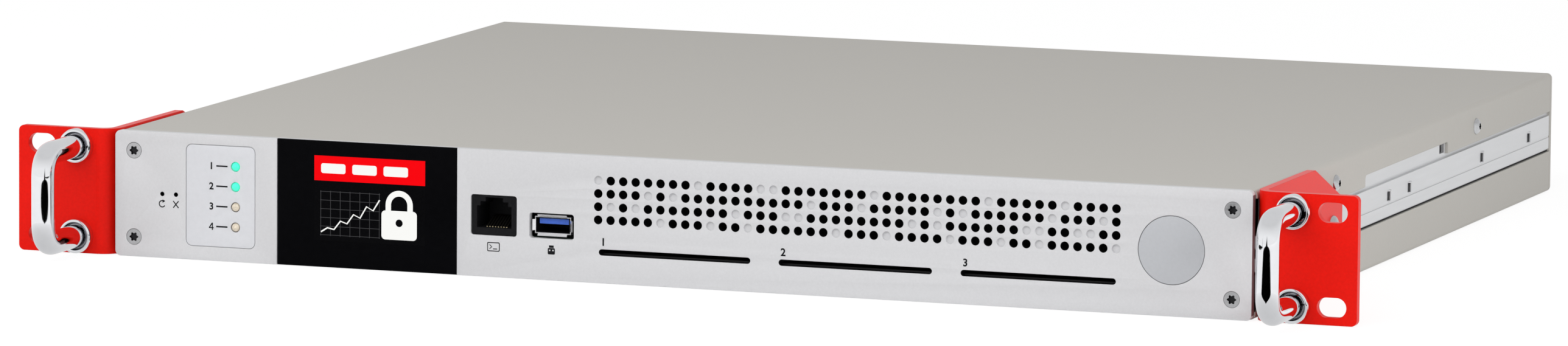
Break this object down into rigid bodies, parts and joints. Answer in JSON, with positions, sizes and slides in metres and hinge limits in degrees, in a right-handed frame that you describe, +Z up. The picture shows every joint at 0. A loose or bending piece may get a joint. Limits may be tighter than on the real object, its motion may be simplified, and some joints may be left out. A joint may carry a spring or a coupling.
{
  "type": "firewall appliance",
  "caption": "Low rack appliance with red ears, tube handles, a touch display, card slots and a vented panel in front, and slide-out power supplies, fans and sockets behind.",
  "frame": {"origin": "centre of the bounding box, on the underside", "axes": "+X to the right seen from the front, +Y from the front panel to the rear, +Z up"},
  "size_m": [0.4826, 0.408, 0.0436],
  "materials": {
    "panel_grey": "satin",
    "label_grey": "satin",
    "lens_black": "gloss",
    "lit_teal": "gloss",
    "clear_lens": "gloss",
    "board_green": "satin",
    "black_plastic": "matte",
    "grey_plastic": "matte",
    "socket_metal": "satin",
    "blue_plastic": "satin",
    "red_paint": "satin",
    "chrome": "polished",
    "screw_steel": "polished",
    "zinc_steel": "satin",
    "cover_steel": "satin",
    "black_sheet": "matte",
    "module_metal": "satin",
    "battery_wrap": "satin",
    "ribbon_grey": "matte",
    "contact_gold": "polished",
    "supply_grey": "satin",
    "latch_red": "satin",
    "bail_dark": "satin"
  },
  "bodies": {
    "chassis": {"front_panel": "panel_grey", "display_lens": "lens_black", "display_module": "black_plastic", "led_label": "label_grey", "lit_leds": "lit_teal", "clear_leds": "clear_lens", "indicator_board": "board_green", "switch_bodies": "black_plastic", "console_jack": "grey_plastic", "usb_shell": "socket_metal", "usb_tongue": "blue_plastic", "port_board": "board_green", "card_reader_1": "black_plastic", "card_reader_2": "black_plastic", "card_reader_3": "black_plastic", "badge_disc": "label_grey", "panel_screws": "screw_steel", "vent_baffle": "black_sheet", "left_ear": "red_paint", "right_ear": "red_paint", "left_handle": "chrome", "right_handle": "chrome", "handle_ferrules": "chrome", "handle_screws": "screw_steel", "ear_screws": "screw_steel", "left_side_frame": "zinc_steel", "right_side_frame": "zinc_steel", "bottom_cover": "cover_steel", "top_cover": "cover_steel", "cover_screws": "screw_steel", "left_rail": "zinc_steel", "right_rail": "zinc_steel", "rear_panel": "cover_steel", "rear_screws": "screw_steel", "main_board": "board_green", "board_standoffs": "contact_gold", "security_module": "module_metal", "processor_heatsink": "module_metal", "backup_battery": "battery_wrap", "ribbon_cables": "ribbon_grey", "power_backplane": "board_green", "psu_cage": "zinc_steel", "network_jacks": "socket_metal", "jack_contacts": "contact_gold", "fan_frame_1": "black_plastic", "fan_frame_2": "black_plastic", "fan_frame_3": "black_plastic"},
    "reset_plunger": {"reset_button": "grey_plastic"},
    "erase_plunger": {"erase_button": "grey_plastic"},
    "fan_1": {"fan_rotor_1": "grey_plastic"},
    "fan_2": {"fan_rotor_2": "grey_plastic"},
    "fan_3": {"fan_rotor_3": "grey_plastic"},
    "supply_1": {"psu_1_case": "supply_grey", "psu_1_inlet": "black_plastic"},
    "supply_1_latch": {"psu_1_latch": "latch_red"},
    "supply_1_bail": {"psu_1_bail": "bail_dark"},
    "supply_2": {"psu_2_case": "supply_grey", "psu_2_inlet": "black_plastic"},
    "supply_2_latch": {"psu_2_latch": "latch_red"},
    "supply_2_bail": {"psu_2_bail": "bail_dark"}
  },
  "joints": [
    {"name": "reset_press", "type": "slide", "parent": "chassis", "child": "reset_plunger", "axis": [0, 1, 0], "range_m": [0, 0.0004], "stiffness_N_per_m": 300},
    {"name": "erase_press", "type": "slide", "parent": "chassis", "child": "erase_plunger", "axis": [0, 1, 0], "range_m": [0, 0.0004], "stiffness_N_per_m": 300},
    {"name": "fan_1_spin", "type": "hinge", "parent": "chassis", "child": "fan_1", "pos_m": [0.0147, 0.182, 0.021], "axis": [0, 1, 0], "continuous": true},
    {"name": "fan_2_spin", "type": "hinge", "parent": "chassis", "child": "fan_2", "pos_m": [-0.0273, 0.182, 0.021], "axis": [0, 1, 0], "continuous": true},
    {"name": "fan_3_spin", "type": "hinge", "parent": "chassis", "child": "fan_3", "pos_m": [-0.0693, 0.182, 0.021], "axis": [0, 1, 0], "continuous": true},
    {"name": "supply_1_slide", "type": "slide", "parent": "chassis", "child": "supply_1", "axis": [0, 1, 0], "range_m": [0, 0.195]},
    {"name": "supply_1_release", "type": "hinge", "parent": "supply_1", "child": "supply_1_latch", "pos_m": [0.1106, 0.168, 0.02835], "axis": [0, 0, 1], "range_deg": [0, 5], "stiffness_Nm_per_rad": 0.4},
    {"name": "supply_1_bail_swing", "type": "hinge", "parent": "supply_1", "child": "supply_1_bail", "pos_m": [0.08785, 0.1989, 0.03235], "axis": [1, 0, 0], "range_deg": [0, 90]},
    {"name": "supply_2_slide", "type": "slide", "parent": "chassis", "child": "supply_2", "axis": [0, 1, 0], "range_m": [0, 0.195]},
    {"name": "supply_2_release", "type": "hinge", "parent": "supply_2", "child": "supply_2_latch", "pos_m": [0.1859, 0.168, 0.02835], "axis": [0, 0, 1], "range_deg": [0, 5], "stiffness_Nm_per_rad": 0.4},
    {"name": "supply_2_bail_swing", "type": "hinge", "parent": "supply_2", "child": "supply_2_bail", "pos_m": [0.16315, 0.1989, 0.03235], "axis": [1, 0, 0], "range_deg": [0, 90]}
  ]
}
